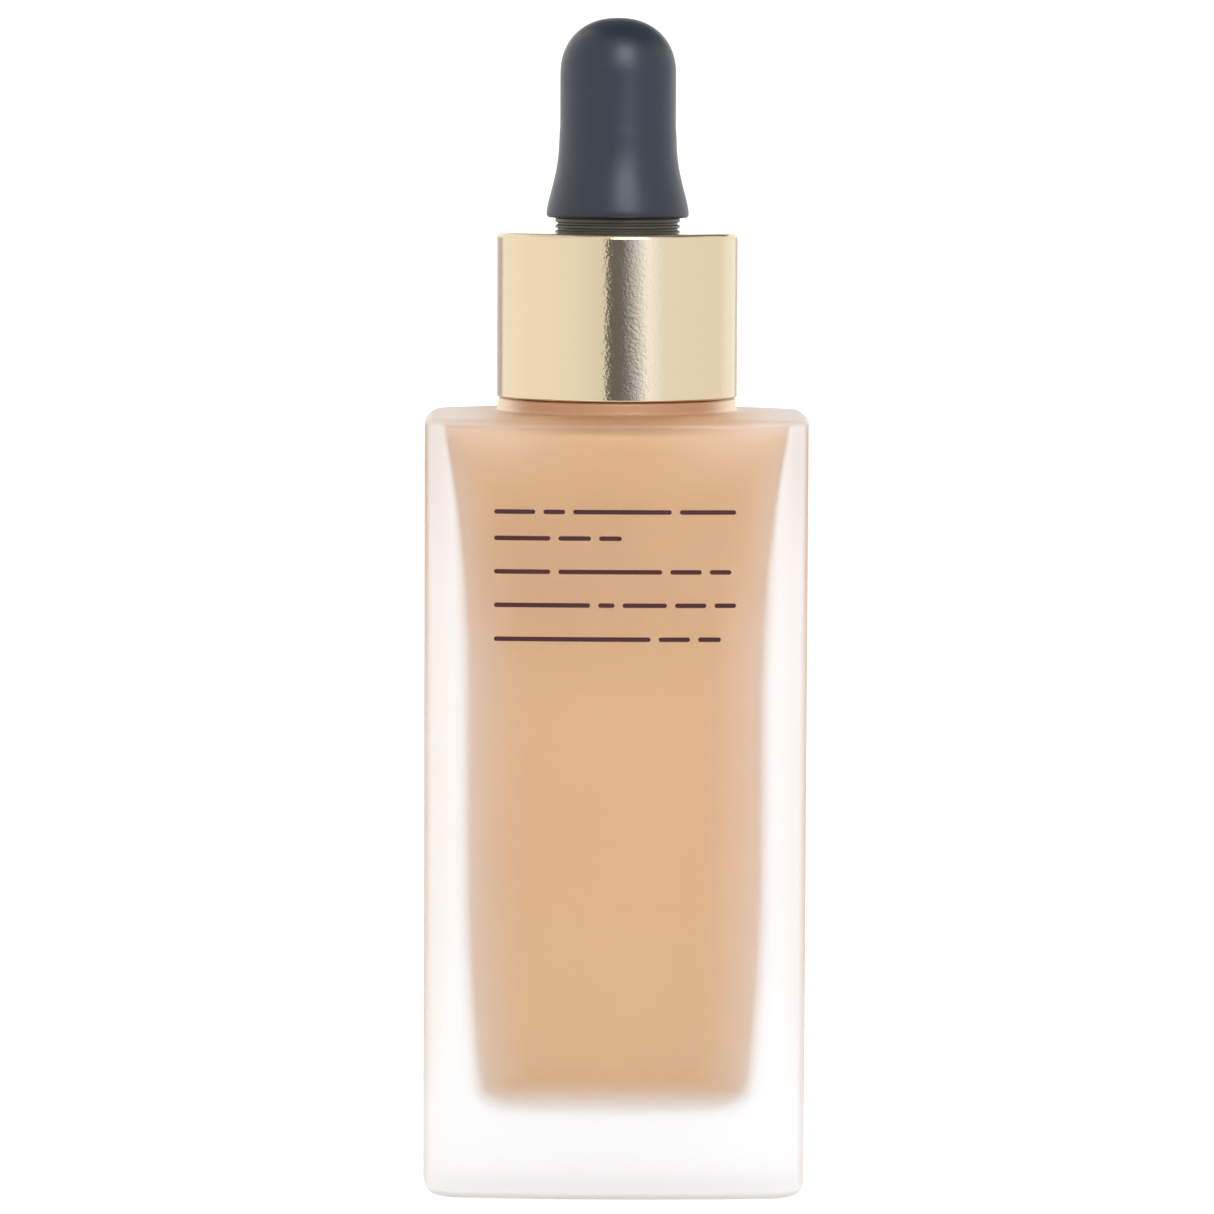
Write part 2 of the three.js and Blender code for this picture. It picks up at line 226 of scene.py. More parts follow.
class Shader:
    """A Principled material with helpers for the procedural nodes that feed it."""

    def __init__(self, name, **values):
        self.material = bpy.data.materials.new(name)
        self.material.use_nodes = True
        self.nodes = self.material.node_tree.nodes
        self.links = self.material.node_tree.links
        self.principled = self.nodes["Principled BSDF"]
        self.output = self.nodes["Material Output"]
        for key, value in values.items():
            self.principled.inputs[key.replace("_", " ")].default_value = value

    def add(self, kind, **values):
        node = self.nodes.new(kind)
        for key, value in values.items():
            setattr(node, key, value)
        return node

    def noise(self, scale, detail):
        """Noise in object space; scale is in features per metre."""
        place = self.add("ShaderNodeTexCoord")
        noise = self.add("ShaderNodeTexNoise")
        noise.inputs["Scale"].default_value = scale
        noise.inputs["Detail"].default_value = detail
        self.links.new(place.outputs["Object"], noise.inputs["Vector"])
        return noise.outputs["Fac"]

    def maths(self, operation, *values):
        """A number worked out from sockets or constants."""
        node = self.add("ShaderNodeMath", operation=operation)
        for place, value in zip(node.inputs, values):
            if isinstance(value, (int, float)):
                place.default_value = value
            else:
                self.links.new(value, place)
        return node.outputs["Value"]

    def times(self, first, second):
        return self.maths("MULTIPLY", first, second)

    def most(self, first, *others):
        for other in others:
            first = self.maths("MAXIMUM", first, other)
        return first

    def step(self, value, start, end, kind="SMOOTHSTEP"):
        """0 at start and 1 at end, held beyond them, with a smooth or even change between."""
        node = self.add("ShaderNodeMapRange", interpolation_type=kind)
        node.inputs["From Min"].default_value = start
        node.inputs["From Max"].default_value = end
        self.links.new(value, node.inputs["Value"])
        return node.outputs["Result"]

    def split(self, vector):
        """The sizes of a vector's parts along X and Y, and its part along Z."""
        node = self.add("ShaderNodeSeparateXYZ")
        self.links.new(vector, node.inputs["Vector"])
        return (self.maths("ABSOLUTE", node.outputs["X"]), self.maths("ABSOLUTE", node.outputs["Y"]),
                node.outputs["Z"])

    def ramp(self, value, low, high):
        """The middle of a noise's range spread between two numbers or colours."""
        colour = isinstance(low, tuple)
        node = self.add("ShaderNodeValToRGB")
        stops = node.color_ramp.elements
        stops[0].position, stops[1].position = NOISE_LOW, NOISE_HIGH
        stops[0].color = low if colour else (low, low, low, 1)
        stops[1].color = high if colour else (high, high, high, 1)
        self.links.new(value, node.inputs["Fac"])
        return node.outputs["Color"]

    def blend(self, amount, first, second):
        """A colour between two, each a constant or a socket."""
        node = self.add("ShaderNodeMixRGB")
        for key, value in (("Fac", amount), ("Color1", first), ("Color2", second)):
            if isinstance(value, tuple):
                node.inputs[key].default_value = value
            else:
                self.links.new(value, node.inputs[key])
        return node.outputs["Color"]

    def feed(self, key, socket):
        self.links.new(socket, self.principled.inputs[key])

    def bump(self, height, strength, depth):
        """Bumps from a noise, their depth in metres."""
        node = self.add("ShaderNodeBump")
        node.inputs["Strength"].default_value = strength
        node.inputs["Distance"].default_value = depth
        self.links.new(height, node.inputs["Height"])
        self.feed("Normal", node.outputs["Normal"])

    def lets_lamps_through(self, tint):
        """Shadow rays pass as through a tinted pane, so that what is inside the glass is lit."""
        path = self.add("ShaderNodeLightPath")
        clear = self.add("ShaderNodeBsdfTransparent")
        clear.inputs["Color"].default_value = tint
        mix = self.add("ShaderNodeMixShader")
        self.links.new(path.outputs["Is Shadow Ray"], mix.inputs["Fac"])
        self.links.new(self.principled.outputs["BSDF"], mix.inputs[1])
        self.links.new(clear.outputs["BSDF"], mix.inputs[2])
        self.links.new(mix.outputs["Shader"], self.output.inputs["Surface"])


# Where the glass's white veil and its tints of painted shade lie. Each pair is where an effect starts and
# where it is
# full: in metres of height, across the bottle or past the cavity's wall, or as a part of the normal.
EDGE_SOFTENS = (0.068, 0.05)
EDGE_SHIFT, EDGE_SOFTNESS, EDGE_SPREAD = 0.0003, 0.0005, 0.0014
EDGE_BAND = (-0.7, 0.8)
WIDE_VEIL, WIDE_VEIL_AMOUNT = (-0.006, 0.0005), 0.3
NARROW_VEIL, NARROW_VEIL_AMOUNT = (-0.004, 0.0005), 0.27
LOW_CORNER = (-0.0104, -0.0086)
FACES_FRONT, FACES_SIDE, FACES_UP = (0.15, 0.5), (0.6, 0.85), (0.1, 0.6)
BELOW_CAVITY = (0.0118, 0.007)
TOP_ENDS = (0.007, 0.0155)
BOSS_FROM, BOSS_TO, TOP_AMOUNT = (0.07305, 0.0733), (0.0746, 0.0743), 0.9
RIM_HEIGHT, RIM_ENDS, RIM_AMOUNT = (0.066, 0.0715), (0.003, 0.012), 0.21
CLEAR, VEILED_LOSS = 0.94, 0.6
EDGE_SHADE_HEIGHT, EDGE_SHADE_CORNER, EDGE_SHADE_SIDE = (0.055, 0.072), (0.35, 0.8), (0.8, 1.0)
FOOT_HEIGHT, FOOT_UNDER, FOOT_FADE = (0.0012, 0.0002), (0.0, -0.6), (0.0032, 0.0014)
CORNER_GREY, SIDE_GREY, FOOT_GREY = 0.4, 0.8, 0.2
COLLAR_SHADE_HEIGHT, COLLAR_SHADE_ENDS = (0.0722, 0.0728), (0.0125, 0.005)
BOSS_SHADE_ENDS, PIPED_ENDS, PIPED_GLOW = (0.0112, 0.0075), (0.0085, 0.0112), 0.22
VEIL_WHITE, EDGE_AND_FOOT_SHADE_GREY = (0.93, 0.94, 0.945, 1), (0.7, 0.66, 0.62, 1)
TOP_PAINTED_SHADE, SHADE_BEIGE = (0.78, 0.73, 0.695, 1), (0.8, 0.74, 0.68, 1)


def frosted_glass():
    """Acid-etched glass. It scatters white light where no foundation stands close behind its surface.

    The whiteness follows the cavity's shape by position, in place of real scattering. A weak glow on
    the ring round the neck stands for the light that the glass carries there. Its colour holds painted
    shade: greyer at the side edges, the heel and the top faces, darker under the collar, and on the
    ring round the neck painted as the foundation seen through the glass in the collar's shadow.
    """
    s = Shader("frosted_glass", IOR=1.5)
    s.feed("Roughness", s.ramp(s.noise(900, 4), 0.4, 0.48))
    place = s.add("ShaderNodeTexCoord")
    across, deep, height = s.split(place.outputs["Object"])
    sideways, forwards, upwards = s.split(place.outputs["Normal"])
    flare = s.step(height, FLARE_START * MM, ROOF_EDGE * MM, "LINEAR")
    taper = s.step(height, TAPER_START * MM, FLOOR * MM, "LINEAR")
    flare, taper = s.maths("POWER", flare, 2.0), s.maths("POWER", taper, 2.0)
    spread = s.step(height, *EDGE_SOFTENS)

    def past_cavity(distance, size, flare_size, taper_size, turned_to):
        """The veil on a face past the cavity's wall, sharp where the foundation is close behind it."""
        wall = s.maths("MULTIPLY_ADD", flare, flare_size * MM, size * MM)
        wall = s.maths("MULTIPLY_ADD", taper, -taper_size * MM, wall)
        past = s.maths("SUBTRACT", distance, wall)
        past = s.maths("MULTIPLY_ADD", s.maths("SUBTRACT", 1.0, spread), EDGE_SHIFT, past)
        softness = s.maths("MULTIPLY_ADD", spread, EDGE_SPREAD, EDGE_SOFTNESS)
        edge = s.step(s.maths("DIVIDE", past, softness), *EDGE_BAND)
        wide_veil = s.times(s.step(past, *WIDE_VEIL), s.times(spread, WIDE_VEIL_AMOUNT))
        narrow_veil = s.times(s.step(past, *NARROW_VEIL), NARROW_VEIL_AMOUNT)
        low_corner = s.step(s.maths("SUBTRACT", past, height), *LOW_CORNER)
        return s.times(s.most(edge, wide_veil, narrow_veil, low_corner), turned_to)

    beside = past_cavity(across, CAVITY["width"], FLARE_WIDTH, TAPER_WIDTH,
                         s.step(forwards, *FACES_FRONT))
    behind = past_cavity(deep, CAVITY["depth"], FLARE_DEPTH, TAPER_DEPTH,
                         s.step(sideways, *FACES_SIDE))
    level = s.step(upwards, *FACES_UP)
    top = s.times(s.times(s.step(across, *TOP_ENDS), level), TOP_AMOUNT)
    boss = s.times(s.times(s.step(height, *BOSS_FROM), s.step(height, *BOSS_TO)), TOP_AMOUNT)
    rim = s.times(s.times(s.step(height, *RIM_HEIGHT), s.step(across, *RIM_ENDS)), RIM_AMOUNT)
    veil = s.most(beside, behind, s.step(height, *BELOW_CAVITY), top, boss, rim)
    s.feed("Transmission Weight", s.maths("MULTIPLY_ADD", veil, -VEILED_LOSS, CLEAR))

    # Painted shade: the glass's colour is greyed towards its side edges and at its heel, for darker edges
    # and the contact shadow under the bottle.
    corner = s.times(s.step(height, *EDGE_SHADE_HEIGHT), s.step(sideways, *EDGE_SHADE_CORNER))
    edge_shade = s.most(s.times(corner, CORNER_GREY), s.times(s.step(sideways, *EDGE_SHADE_SIDE), SIDE_GREY))
    foot = s.times(s.step(height, *FOOT_HEIGHT), s.step(upwards, *FOOT_UNDER))
    foot = s.most(foot, s.times(s.step(height, *FOOT_FADE), FOOT_GREY))
    tint = s.blend(s.most(edge_shade, foot), VEIL_WHITE, EDGE_AND_FOOT_SHADE_GREY)
    # Painted shade: faces that look up are tinted a darker beige.
    tint = s.blend(level, tint, TOP_PAINTED_SHADE)
    collar_shade = s.times(s.step(height, *COLLAR_SHADE_HEIGHT), s.step(across, *COLLAR_SHADE_ENDS))
    tint = s.blend(collar_shade, tint, SHADE_BEIGE)
    # Painted shade: the ring round the neck is coloured as the foundation seen through the glass in the
    # collar's shadow, paler peach towards its ends and tan-brown in its middle.
    tint = s.blend(boss, tint, srgb(250, 226, 192))
    boss_painted_shade = s.times(boss, s.step(across, *BOSS_SHADE_ENDS))
    s.feed("Base Color", s.blend(boss_painted_shade, tint, srgb(216, 156, 106)))
    piped = s.times(boss, s.step(across, *PIPED_ENDS))
    s.principled.inputs["Emission Color"].default_value = (1, 0.9, 0.75, 1)
    s.feed("Emission Strength", s.times(piped, PIPED_GLOW))
    s.bump(s.noise(6000, 2), 0.25, 0.00002)
    s.lets_lamps_through((0.93, 0.92, 0.91, 1))
    return s.material


def foundation():
    s = Shader("foundation", Roughness=0.45, IOR=1.42)
    s.feed("Base Color", s.ramp(s.noise(60, 2), srgb(224, 176, 116), srgb(222, 172, 112)))
    s.bump(s.noise(180, 2), 0.1, 0.0001)
    return s.material


def gold():
    s = Shader("gold_metal", Base_Color=srgb(215, 197, 166), Metallic=1.0)
    s.feed("Roughness", s.ramp(s.noise(2500, 3), 0.08, 0.12))
    s.bump(s.noise(3600, 2), 0.8, 0.00002)
    return s.material


def rubber():
    s = Shader("bulb_rubber", Base_Color=srgb(15, 30, 44), IOR=1.5, Sheen_Weight=0.16,
               Sheen_Roughness=0.24)
    s.feed("Roughness", s.ramp(s.noise(700, 3), 0.36, 0.4))
    s.bump(s.noise(9000, 2), 0.15, 0.00002)
    return s.material


def cap_plastic():
    s = Shader("cap_plastic", Base_Color=srgb(72, 68, 56), Roughness=0.35)
    s.bump(s.noise(7000, 2), 0.1, 0.00002)
    return s.material


def pale_plastic(name, colour, roughness):
    s = Shader(name, Base_Color=colour, Roughness=roughness, Subsurface_Weight=0.2)
    s.principled.inputs["Subsurface Radius"].default_value = (0.001, 0.001, 0.001)
    s.bump(s.noise(5000, 2), 0.15, 0.00002)
    return s.material


def clear_glass():
    s = Shader("pipette_glass", Base_Color=(0.98, 0.99, 0.985, 1), Roughness=0.02, IOR=1.5,
               Transmission_Weight=1.0)
    s.bump(s.noise(120, 1), 0.05, 0.00005)
    s.lets_lamps_through((0.93, 0.94, 0.93, 1))
    return s.material


def ink():
    s = Shader("print_ink", Base_Color=srgb(74, 40, 44), Roughness=0.8, Specular_IOR_Level=0.2)
    s.bump(s.noise(8000, 2), 0.2, 0.00001)
    return s.material


def finish(piece, material, body, nodes=()):
    piece.data.materials.append(material)
    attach(piece, body)
    if nodes:
        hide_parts(*nodes)
    return piece


# ------------------------------------------------------------------ bottle

def glass_bottle():
    heel = [(HEEL_RADIUS - r, z) for r, z in arc(0, HEEL_RADIUS, HEEL_RADIUS, -90, 0, 10)]
    edge_z = BODY_TOP - SHOULDER_RADIUS
    edge = [(SHOULDER_RADIUS - r, z) for r, z in arc(0, edge_z, SHOULDER_RADIUS, 0, 90, 12)]
    rings = [ring_at(body_outline(RIM + PUSH_SLOPE), PUSH_UP), ring_at(body_outline(RIM), 0)]
    rings += [ring_at(body_outline(inset), z) for inset, z in heel]
    rings += [ring_at(body_outline(0), z) for z in np.linspace(HEEL_RADIUS, edge_z, 14)[1:-1]]
    rings += [ring_at(body_outline(inset), z) for inset, z in edge]

    outside = [(BOSS_RADIUS + 0.3, BODY_TOP + SHOULDER_CROWN - LIP)]
    outside += arc(BOSS_RADIUS + 0.3, BODY_TOP + SHOULDER_CROWN + 0.3 - LIP, 0.3, -90, -180, 5)
    outside += arc(BOSS_RADIUS - BOSS_EDGE, BOSS_TOP - BOSS_EDGE - LIP, BOSS_EDGE, 0, 90, 6)
    neck = [(NECK_RADIUS, BOSS_TOP - LIP), (NECK_RADIUS, -LIP_ROUNDING)]
    outside += subdivided(neck, 0.11)
    outside += arc(NECK_RADIUS - LIP_ROUNDING, -LIP_ROUNDING, LIP_ROUNDING, 0, 90, 6)[1:]
    outside += arc(NECK_BORE + LIP_ROUNDING, -LIP_ROUNDING, LIP_ROUNDING, 90, 180, 6)
    outside += [(r, z - LIP) for r, z in NECK_FOOT[::-1]]
    shift = threaded(NECK_THREAD)
    angles = np.linspace(0, 2 * np.pi, AROUND, endpoint=False)
    for r, z in outside:
        radii = shift(np.full(AROUND, float(r)), angles, z)
        rings.append(np.c_[radii * np.cos(angles), radii * np.sin(angles), np.full(AROUND, z + LIP)])

    rings += [ring_at(cavity_outline(ROOF_EDGE, 0.6), ROOF_EDGE),
              ring_at(cavity_outline(ROOF_EDGE, 0.15), (ROOF_EDGE + WALL_TOP) / 2)]
    rings += cavity_rings(0)[::-1]
    return stacked("visual_bottle", rings)


def cavity_rings(gap):
    """The cavity's walls from its floor up, moved in by a gap, or out where it's negative."""
    corner_top = FLOOR + FLOOR_RADIUS
    corner = arc(0, corner_top, FLOOR_RADIUS - gap, -90, 0, 10)
    rings = [ring_at(cavity_outline(z, FLOOR_RADIUS - r), z) for r, z in corner]
    walls = np.linspace(corner_top, WALL_TOP, 40)[1:]
    return rings + [ring_at(cavity_outline(z, gap), z) for z in walls]


def foundation_fill():
    """It wets the glass, so it reaches just into it and the glass shows it without an air gap."""
    wet = -0.04
    rings = cavity_rings(wet)
    rings += [ring_at(cavity_outline(ROOF_EDGE, 0.15 + wet), (ROOF_EDGE + WALL_TOP) / 2 - wet),
              ring_at(cavity_outline(ROOF_EDGE, 0.6 + wet), ROOF_EDGE - wet),
              *[ring_at(round_outline(r - wet), z - wet) for r, z in NECK_FOOT],
              ring_at(round_outline(NECK_BORE - wet), FILL_LEVEL + 0.1),
              ring_at(round_outline(NECK_BORE - 0.2), FILL_LEVEL)]
    tip = LIP + PIPETTE_BOTTOM
    clearance = 0.2
    rings += [ring_at(round_outline(PIPETTE_RADIUS + clearance), FILL_LEVEL),
              ring_at(round_outline(PIPETTE_RADIUS + clearance), tip + TAPER_LENGTH),
              ring_at(round_outline(PIPETTE_TIP + clearance), tip),
              ring_at(round_outline(PIPETTE_TIP + clearance), tip - 0.8)]
    return stacked("visual_foundation", rings)


# ------------------------------------------------------------------ closure, heights from the lip

SHELL_RADIUS, SHELL_BOTTOM, SHELL_TOP, SHELL_WALL, SHELL_EDGE, SHELL_HOLE = (
    11.35, -10.2, 5.25, 0.4, 0.45, 6.0)
CAP_RADIUS, CAP_BOTTOM, PANEL_BOTTOM, PANEL_TOP, CAP_SEAT = 10.55, -9.7, 3.0, 4.6, 9.3
TOWER_RADIUS, TOWER_BORE, TOWER_TOP = 5.85, 4.7, 6.6
PIPETTE_RADIUS, PIPETTE_BORE, PIPETTE_TIP, PIPETTE_TIP_BORE = 3.5, 2.6, 1.9, 1.1
PIPETTE_TOP, PIPETTE_BOTTOM, TAPER_LENGTH = 5.1, -72.4, 15.0
BULB_RADIUS, BULB_WALL, DOME_START, BULB_TOP, DOME_POWER = 5.44, 1.3, 20.0, 25.3, 2.2
SKIRT_SWEEP = [(6.68, 7.2), (6.31, 8.9), (5.78, 11.15), (5.54, 13.3), (5.44, 15.2)]
LEDGE, SKIRT_BOTTOM, SKIRT_BORE, FOOT_RADIUS, FOOT_BOTTOM, FOOT_TOP = 7.45, 6.6, 6.1, 7.6, 1.9, 2.9
BULB_NECK = 4.6


def outer_collar():
    inside = SHELL_RADIUS - SHELL_WALL
    profile = [(inside, SHELL_BOTTOM + 0.1), (inside + 0.1, SHELL_BOTTOM)]
    profile += arc(SHELL_RADIUS - 0.15, SHELL_BOTTOM + 0.15, 0.15, -90, 0, 5)
    profile += [(SHELL_RADIUS, SHELL_BOTTOM + 0.25), (SHELL_RADIUS, SHELL_TOP - SHELL_EDGE - 0.1)]
    profile += arc(SHELL_RADIUS - SHELL_EDGE, SHELL_TOP - SHELL_EDGE, SHELL_EDGE, 0, 90, 10)
    profile += [(SHELL_HOLE + 0.1, SHELL_TOP), (SHELL_HOLE, SHELL_TOP - 0.1),
                (SHELL_HOLE, SHELL_TOP - SHELL_WALL)]
    profile += arc(inside - 0.25, SHELL_TOP - SHELL_WALL - 0.25, 0.25, 90, 0, 5)
    return turned("visual_collar", profile, closed=True)


def inner_cap():
    skirt_top = PANEL_TOP - 0.1
    grooves = []
    span = (TOWER_TOP - SHELL_TOP - 0.3) / 2
    for i in range(2):
        start = SHELL_TOP + 0.1 + i * span
        grooves += [(TOWER_RADIUS, start), (TOWER_RADIUS - 0.22, start + 0.2 * span),
                    (TOWER_RADIUS - 0.22, start + 0.45 * span), (TOWER_RADIUS, start + 0.65 * span)]
    profile = [(CAP_RADIUS, CAP_BOTTOM), (CAP_RADIUS, skirt_top - 0.4), (CAP_RADIUS - 0.4, skirt_top),
               (TOWER_RADIUS, skirt_top)]
    profile += grooves
    profile += [(TOWER_RADIUS, TOWER_TOP - 0.1), (TOWER_RADIUS - 0.1, TOWER_TOP),
                (TOWER_BORE, TOWER_TOP), (TOWER_BORE, PANEL_BOTTOM), (CAP_SEAT, PANEL_BOTTOM),
                (CAP_SEAT, 0.4)]
    profile += subdivided([(CAP_THREAD["root"], -0.4), (CAP_THREAD["root"], CAP_BOTTOM)], 0.11)
    return turned("visual_cap", profile, closed=True, shift=threaded(CAP_THREAD))


def dome(radius, springing, crown, steps):
    """A dome's profile from its springing to its crown, a little fuller than a half circle."""
    points = []
    for a in np.linspace(0, math.pi / 2, steps + 1)[:-1]:
        reach = radius * math.cos(a) ** (2 / DOME_POWER)
        points.append((reach, springing + (crown - springing) * math.sin(a) ** (2 / DOME_POWER)))
    return points + [(radius * 0.01, crown)]


def smooth_sweep(points, steps):
    """A curve through given points."""
    z = [p[1] for p in points]
    r = [p[0] for p in points]
    fit = np.polyfit(z, r, 4)
    return [(float(np.polyval(fit, h)), float(h)) for h in np.linspace(z[0], z[-1], steps + 1)]


def dropper_bulb():
    inside = BULB_RADIUS - BULB_WALL
    bore = PIPETTE_RADIUS + 0.05
    profile = dome(inside, DOME_START, BULB_TOP - BULB_WALL, 16)[::-1]
    profile += [(inside, LEDGE + 2), (bore, LEDGE + 1), (bore, FOOT_BOTTOM), (FOOT_RADIUS, FOOT_BOTTOM),
                (FOOT_RADIUS, FOOT_TOP), (BULB_NECK, FOOT_TOP), (BULB_NECK, LEDGE), (SKIRT_BORE, LEDGE),
                (SKIRT_BORE, SKIRT_BOTTOM + 0.1), (SKIRT_BORE + 0.1, SKIRT_BOTTOM)]
    widest = SKIRT_SWEEP[0][0]
    profile += arc(widest - 0.3, SKIRT_BOTTOM + 0.3, 0.3, -90, 0, 6)
    profile += smooth_sweep(SKIRT_SWEEP, 40)
    profile += dome(BULB_RADIUS, DOME_START, BULB_TOP, 32)
    return turned("visual_bulb", profile)


def pipette_tube():
    shoulder = PIPETTE_BOTTOM + TAPER_LENGTH
    profile = [(PIPETTE_TIP_BORE, PIPETTE_BOTTOM)]
    profile += arc(PIPETTE_TIP - 0.25, PIPETTE_BOTTOM + 0.25, 0.25, -90, 0, 5)
    profile += [(PIPETTE_RADIUS - 0.15, shoulder - 1.5), (PIPETTE_RADIUS - 0.03, shoulder - 0.4),
                (PIPETTE_RADIUS, shoulder + 0.4)]
    profile += arc(PIPETTE_RADIUS - 0.25, PIPETTE_TOP - 0.25, 0.25, 0, 90, 5)
    profile += [(PIPETTE_BORE, PIPETTE_TOP), (PIPETTE_BORE, shoulder + 0.4),
                (PIPETTE_BORE - 0.15, shoulder - 1.5)]
    return turned("visual_pipette", profile, closed=True)


def pipette_fill():
    shoulder = PIPETTE_BOTTOM + TAPER_LENGTH
    wet = 0.02
    level = FILL_LEVEL - LIP
    profile = [(PIPETTE_TIP_BORE + wet, PIPETTE_BOTTOM + 0.05), (PIPETTE_BORE - 0.15 + wet, shoulder - 1.5),
               (PIPETTE_BORE + wet, shoulder + 0.4), (PIPETTE_BORE + wet, level)]
    return turned("visual_pipette_fill", profile)


def neck_wiper():
    plug, wall, bottom, lip, flange = 6.45, 0.7, -9.4, 3.65, 8.9
    cone = bottom + 2.2
    profile = [(lip, bottom), (lip + wall, bottom), (plug - 0.4, cone - 0.5), (plug, cone), (plug, 0.1),
               (flange - 0.1, 0.1), (flange, 0.2), (flange, 0.8), (flange - 0.1, 0.9),
               (plug - wall + 0.3, 0.9), (plug - wall, 0.4), (plug - wall, cone + 0.4)]
    return turned("visual_wiper", profile, closed=True)


def sealing_washer():
    hole, radius, bottom, top = 3.6, 9.1, 1.0, 1.8
    profile = [(hole, bottom), (radius - 0.1, bottom), (radius, bottom + 0.1), (radius, top - 0.1),
               (radius - 0.1, top), (hole, top)]
    return turned("visual_washer", profile, closed=True)


# ------------------------------------------------------------------ generic print

PRINT_LINES = [  # word lengths of each line, in millimetres
    (3.8, 2.0, 9.1, 5.2),
    (5.2, 3.0, 2.1),
    (5.2, 9.6, 2.9, 2.0),
    (8.9, 1.5, 4.1, 2.9, 2.0),
    (14.5, 2.9, 2.1),
]
PRINT_TOP, PRINT_LEFT = 64.33, -11.3
LINE_DROPS = (0, 2.45, 5.55, 8.65, 11.8)
WORD_GAP, STROKE, INK_THICKNESS = 0.75, 0.42, 0.02


def front_face(x):
    """How far the front face stands out at x."""
    return BODY["depth"] - BODY["face"] + math.sqrt(BODY["face"] ** 2 - x ** 2)


def print_block():
    """Plain word-length bars in place of any wording."""
    vertices, faces = [], []
    for words, drop in zip(PRINT_LINES, LINE_DROPS):
        x = PRINT_LEFT
        for length in words:
            add_bar(vertices, faces, x, x + length, PRINT_TOP - drop)
            x += length + WORD_GAP
    return mesh_piece("print_bars", vertices, faces)


def add_bar(vertices, faces, left, right, z):
    """A bar with round ends that follows the front face, as a strip of quads."""
    half = STROKE / 2
    turn = np.linspace(0.15, math.pi / 2, 6)
    start = left + half - half * np.cos(turn)
    end = right - half + half * np.cos(turn[::-1])
    middle = np.linspace(start[-1], end[0], 2 + int((right - left) / 0.5))[1:-1]
    reach = np.concatenate([half * np.sin(turn), np.full(len(middle), half), half * np.sin(turn[::-1])])
    columns = np.concatenate([start, middle, end])
    first = len(vertices)
    for x, tall in zip(columns, reach):
        face = front_face(x)
        vertices += [(x, -face + 0.01, z - tall), (x, -face - INK_THICKNESS, z - tall),
                     (x, -face - INK_THICKNESS, z + tall), (x, -face + 0.01, z + tall)]
    for i in range(len(columns) - 1):
        at = first + 4 * i
        faces += [(at + k, at + 4 + k, at + 4 + (k + 1) % 4, at + (k + 1) % 4) for k in range(4)]
    last = first + 4 * (len(columns) - 1)
    faces += [(first, first + 1, first + 2, first + 3), (last + 3, last + 2, last + 1, last)]


# ------------------------------------------------------------------ assembly of looks

GLASS = frosted_glass()
CREAM = foundation()
finish(glass_bottle(), GLASS, "bottle", ["glass_bottle"])
finish(foundation_fill(), CREAM, "bottle", ["foundation_fill"])
finish(neck_wiper(), pale_plastic("wiper_plastic", srgb(228, 228, 222), 0.35), "bottle",
       ["neck_wiper"])
finish(print_block(), ink(), "bottle")
finish(sealing_washer(), pale_plastic("washer_foam", srgb(236, 236, 232), 0.6), "dropper",
       ["sealing_washer"])
finish(pipette_tube(), clear_glass(), "dropper", ["pipette_tube"])
finish(pipette_fill(), CREAM, "dropper", ["pipette_fill"])
finish(inner_cap(), cap_plastic(), "cap", ["inner_cap"])
finish(outer_collar(), gold(), "cap", ["outer_collar"])
bulb = finish(dropper_bulb(), rubber(), "bulb", ["dropper_bulb"])
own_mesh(bulb)


# ------------------------------------------------------------------ stage, lights and camera

CARD_TOP, CARD_DISTANCE, CARD_STEPS = 0.3, 0.34, 24
FLAG_TOP, FLAG_DISTANCE = 0.085, 0.6
GLOW_BOTTOM, GLOW_TOP = 0.15, 0.5
SLANT_TOP, SLANT_BOTTOM = 0.072, 0.055
CANOPY_CENTRE, CANOPY_RADIUS, CANOPY_LEFT, CANOPY_RIGHT = 0.09, 0.5, -0.2, 0.5
FLOOR_FRONT, BEND_START, BEND_RADIUS, BACKDROP_TOP, HALF_WIDTH = -2.5, 1.0, 0.8, 3.5, 4.0


def add_mesh(name, vertices, faces, material):
    mesh = bpy.data.meshes.new(name)
    mesh.from_pydata(vertices, [], faces)
    mesh.materials.append(material)
    piece = bpy.data.objects.new(name, mesh)
    bpy.context.scene.collection.objects.link(piece)
    return piece


def add_light_sheet(name, vertices, faces, material, lights):
    """A sheet that the camera doesn't see. Unless it lights things, it is only mirrored."""
    piece = add_mesh(name, vertices, faces, material)
    piece.visible_camera = False
    piece.visible_diffuse = lights
    piece.visible_transmission = lights
    piece.visible_shadow = lights


def card(name, start, end, strengths, colour=(1, 1, 1), low=0.0, high=CARD_TOP,
         distance=CARD_DISTANCE, lights=True, slant=0.0):
    """A glowing curved card round the bottle, between two azimuths in degrees; 0 is the camera's side.

    Its strength runs evenly from one edge to the other. slant moves that run towards the second edge
    low on the card, in radians per metre.
    """
    vertices, faces = [], []
    for i, a in enumerate(np.radians(np.linspace(start, end, CARD_STEPS + 1))):
        x, y = distance * math.sin(a), -distance * math.cos(a)
        vertices += [(x, y, low), (x, y, high)]
        if i:
            faces.append((2 * i - 2, 2 * i, 2 * i + 1, 2 * i - 1))
    s = Shader(name, Base_Color=(0, 0, 0, 1), Specular_IOR_Level=0.0, Emission_Color=(*colour, 1))
    place = s.add("ShaderNodeSeparateXYZ")
    s.links.new(s.add("ShaderNodeTexCoord").outputs["Object"], place.inputs["Vector"])
    azimuth = s.maths("ARCTAN2", place.outputs["X"], s.times(place.outputs["Y"], -1.0))
    if slant:
        drop = s.step(place.outputs["Z"], SLANT_TOP, SLANT_BOTTOM, "LINEAR")
        azimuth = s.maths("MULTIPLY_ADD", drop, -slant * (SLANT_TOP - SLANT_BOTTOM), azimuth)
    along = s.step(azimuth, math.radians(start), math.radians(end), "LINEAR")
    first, last = strengths
    s.feed("Emission Strength", s.maths("MULTIPLY_ADD", along, last - first, first))
    add_light_sheet(name, vertices, faces, s.material, lights)


